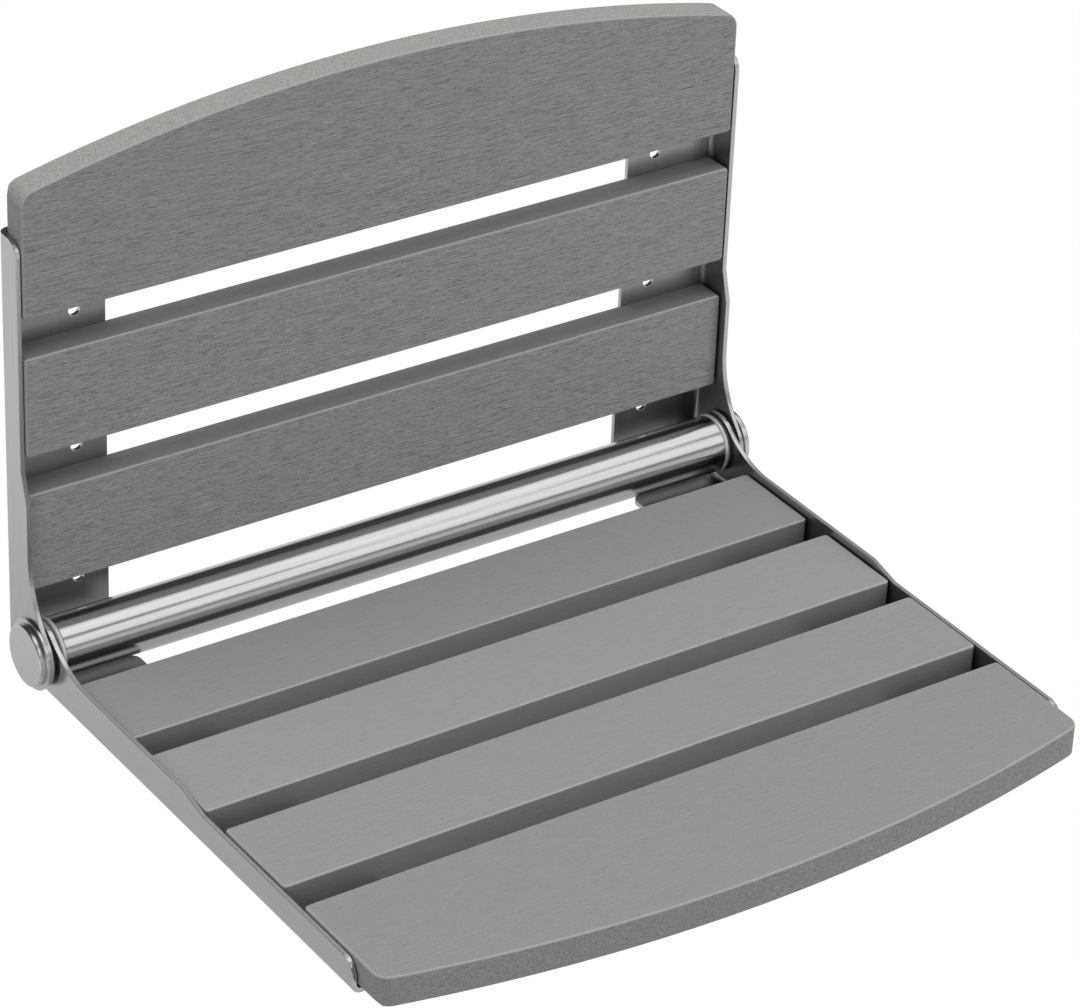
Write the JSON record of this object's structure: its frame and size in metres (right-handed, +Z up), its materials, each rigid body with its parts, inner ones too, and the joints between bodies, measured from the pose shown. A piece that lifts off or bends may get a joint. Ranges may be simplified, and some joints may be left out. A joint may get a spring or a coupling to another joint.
{
  "type": "fold down wall seat",
  "caption": "Fold down wall seat: a slatted composite back on steel wall brackets, and a slatted seat that hinges up on a steel cross tube.",
  "frame": {"origin": "centre of the wall screw pattern, on the plane of the wall that the brackets' backs lie on", "axes": "+X across the seat, to the right of someone who stands before it and looks at the wall, +Y into the wall, so the seat faces -Y, +Z up"},
  "size_m": [0.4152, 0.3485, 0.2849],
  "materials": {
    "slat_composite": "grey wood-grain composite board, embossed with fine grain along its length",
    "bracket_steel": "brushed stainless sheet",
    "tube_steel": "stainless tube, finely brushed round",
    "cap_steel": "turned stainless, satin",
    "screw_steel": "plain stainless",
    "washer_nylon": "dark nylon"
  },
  "bodies": {
    "wall_frame": {"wall_bracket_left": "bracket_steel", "wall_bracket_right": "bracket_steel", "back_slat_top": "slat_composite", "back_slat_middle": "slat_composite", "back_slat_lower": "slat_composite", "back_slat_screws": "screw_steel", "pivot_tube": "tube_steel", "tube_plug_left": "tube_steel", "tube_plug_right": "tube_steel", "tube_spacer_left": "washer_nylon", "tube_spacer_right": "washer_nylon", "pivot_bolt_left": "cap_steel", "pivot_bolt_right": "cap_steel", "cap_washer_left": "cap_steel", "cap_washer_right": "cap_steel", "hinge_washer_left": "washer_nylon", "hinge_washer_right": "washer_nylon"},
    "seat": {"seat_bracket_left": "bracket_steel", "seat_bracket_right": "bracket_steel", "seat_slat_rear": "slat_composite", "seat_slat_second": "slat_composite", "seat_slat_third": "slat_composite", "seat_slat_front": "slat_composite", "seat_slat_screws": "screw_steel"}
  },
  "joints": [
    {"name": "seat_fold", "type": "hinge", "parent": "wall_frame", "child": "seat", "pos_m": [0, -0.026, -0.09195], "axis": [-1, 0, 0], "range_deg": [0, 90]}
  ]
}
